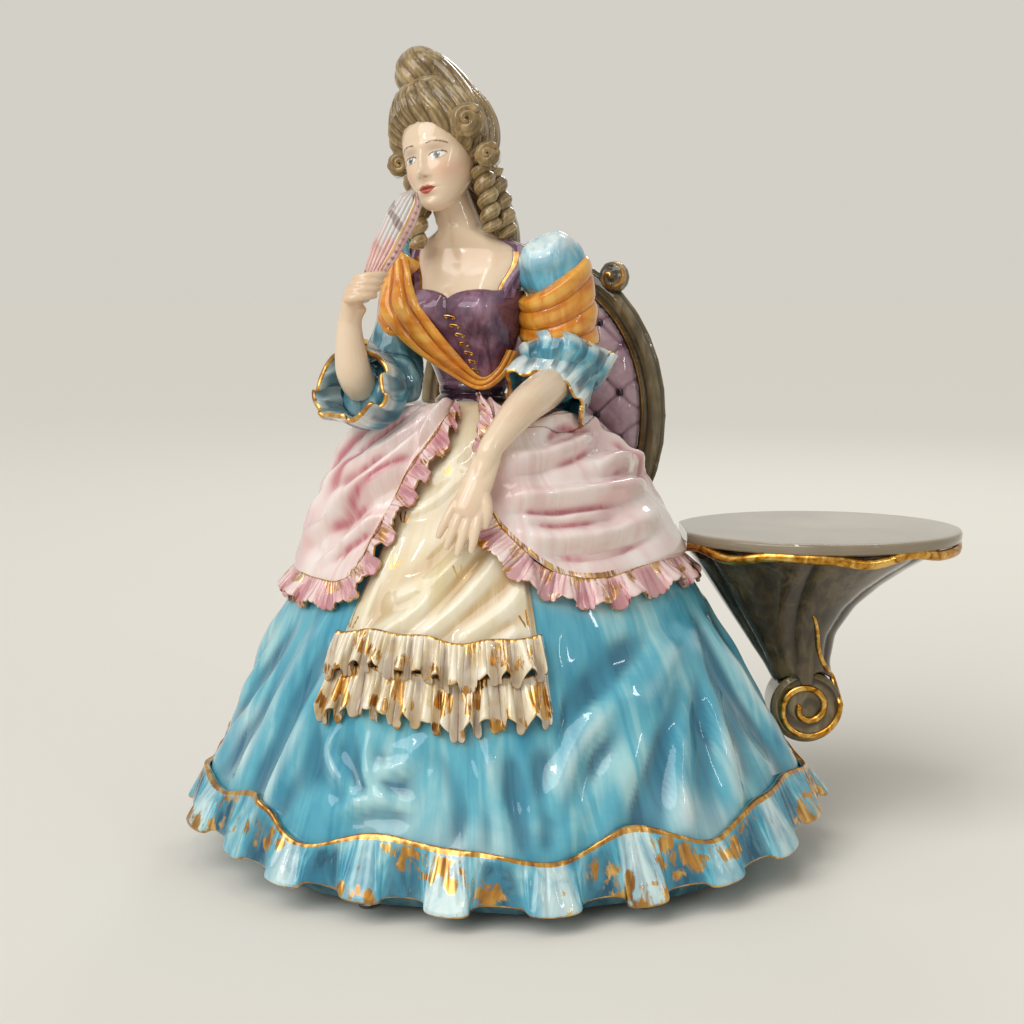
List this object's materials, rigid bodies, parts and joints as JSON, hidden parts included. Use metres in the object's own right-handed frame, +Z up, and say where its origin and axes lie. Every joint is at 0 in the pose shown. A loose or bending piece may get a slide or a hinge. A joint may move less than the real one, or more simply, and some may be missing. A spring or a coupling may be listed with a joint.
{
  "type": "ceramic lady figurine",
  "caption": "Seated lady figurine in a wide layered gown with a fan, a tufted chair back behind her and a bracket console at her side that carries a small object.",
  "frame": {"origin": "on the standing surface, under the middle of the whole box", "axes": "+Z up, the lady's front towards -Y, the console on the +X side"},
  "size_m": [0.3976, 0.2476, 0.4012],
  "materials": {
    "clear_pad": "clear soft plastic",
    "base_glaze": "hand-painted gloss glaze",
    "turquoise_glaze": "hand-painted gloss glaze",
    "gilt_turquoise_glaze": "hand-painted gloss glaze",
    "cream_glaze": "hand-painted gloss glaze",
    "gilt_cream_glaze": "hand-painted gloss glaze",
    "pink_glaze": "hand-painted gloss glaze",
    "rose_glaze": "hand-painted gloss glaze",
    "dark_plum_glaze": "hand-painted gloss glaze",
    "plum_glaze": "hand-painted gloss glaze",
    "flesh_glaze": "hand-painted gloss glaze",
    "hair_glaze": "hand-painted gloss glaze",
    "blue_glaze": "hand-painted gloss glaze",
    "orange_glaze": "hand-painted gloss glaze",
    "grey_teal_glaze": "hand-painted gloss glaze",
    "fan_glaze": "hand-painted gloss glaze",
    "olive_glaze": "hand-painted gloss glaze",
    "mauve_glaze": "hand-painted gloss glaze",
    "grey_taupe_glaze": "hand-painted gloss glaze",
    "gold_lustre": "gold lustre over glaze",
    "dark_olive_glaze": "hand-painted gloss glaze"
  },
  "bodies": {
    "root": {"foot_pads": "clear_pad", "base": "base_glaze", "skirt": "turquoise_glaze", "hem_flounce": "gilt_turquoise_glaze", "apron": "cream_glaze", "apron_frill_upper": "gilt_cream_glaze", "apron_frill_lower": "gilt_cream_glaze", "overskirt_right": "pink_glaze", "overskirt_left": "pink_glaze", "overskirt_frill_right": "rose_glaze", "overskirt_frill_left": "rose_glaze", "waist_band": "dark_plum_glaze", "bodice": "plum_glaze", "bodice_straps": "plum_glaze", "chest": "flesh_glaze", "head": "flesh_glaze", "hair_crown": "hair_glaze", "topknot": "hair_glaze", "side_curls": "hair_glaze", "ringlets_right": "hair_glaze", "ringlets_left": "hair_glaze", "back_hair": "hair_glaze", "sleeve_right": "blue_glaze", "sleeve_left": "blue_glaze", "shawl_front": "orange_glaze", "shawl_arm_wrap": "orange_glaze", "cuff_right": "grey_teal_glaze", "cuff_left": "grey_teal_glaze", "forearm_right": "flesh_glaze", "forearm_left": "flesh_glaze", "fan": "fan_glaze", "chair_frame": "olive_glaze", "chair_pad": "mauve_glaze", "chair_back_panel": "olive_glaze", "chair_scrolls": "olive_glaze", "console_top": "grey_taupe_glaze", "console_bead": "gold_lustre", "console_bracket": "dark_olive_glaze", "console_scroll": "dark_olive_glaze"}
  },
  "joints": []
}
